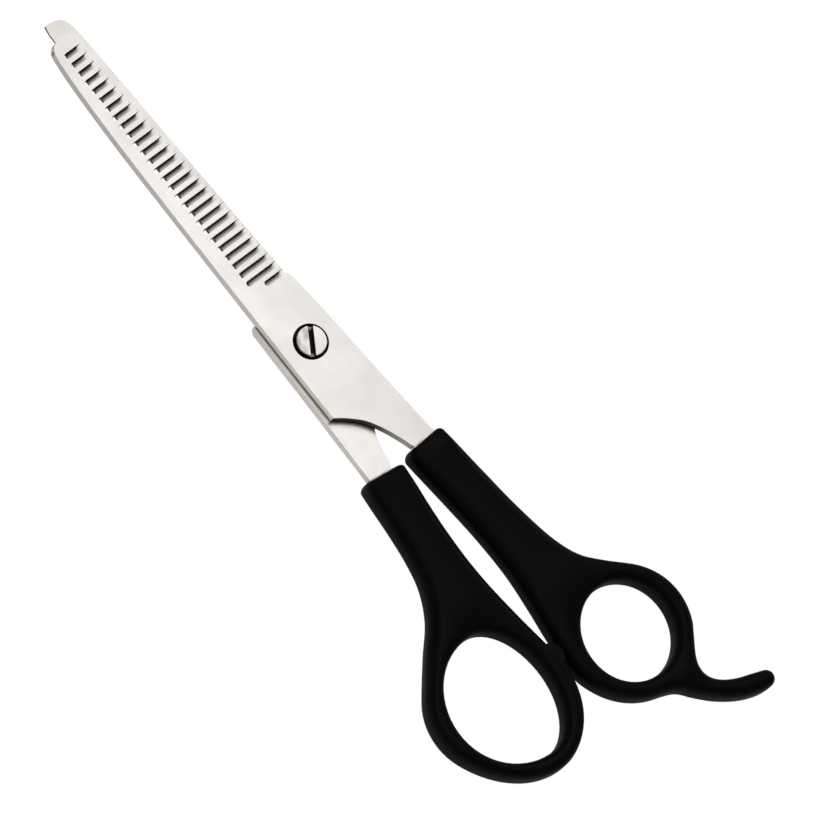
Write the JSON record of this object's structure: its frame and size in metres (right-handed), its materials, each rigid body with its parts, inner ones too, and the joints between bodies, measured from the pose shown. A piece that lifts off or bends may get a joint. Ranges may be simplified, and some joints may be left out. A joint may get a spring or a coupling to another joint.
{
  "type": "thinning shears",
  "caption": "Right-handed thinning shears: a comb-toothed blade over a plain blade on a slotted pivot screw, with plastic ring handles, a curved finger rest and a stop bumper.",
  "frame": {"origin": "on the pivot screw's axis, in the plane where the two blades meet", "axes": "+X from the pivot towards the blade tips, +Y towards the thumb ring, +Z along the pivot, out of the screw's slotted head"},
  "size_m": [0.1926, 0.0631, 0.0072],
  "materials": {
    "blade_steel": "fine satin, ground along the blade",
    "screw_steel": "polished",
    "nylon": "smooth",
    "handle_plastic": "satin moulded",
    "bumper_rubber": "matt"
  },
  "bodies": {
    "plain_side": {"plain_blade": "blade_steel", "thumb_handle": "handle_plastic", "stop_bumper": "bumper_rubber"},
    "toothed_side": {"toothed_blade": "blade_steel", "finger_handle": "handle_plastic", "screw_washer": "nylon"},
    "screw": {"pivot_screw": "screw_steel"}
  },
  "joints": [
    {"name": "blade_pivot", "type": "hinge", "parent": "plain_side", "child": "toothed_side", "pos_m": [0, 0, 0], "axis": [0, 0, 1], "range_deg": [0, 100]},
    {"name": "tension_screw_turn", "type": "hinge", "parent": "plain_side", "child": "screw", "pos_m": [0, 0, 0], "axis": [0, 0, 1], "range_deg": [-90, 90]}
  ]
}
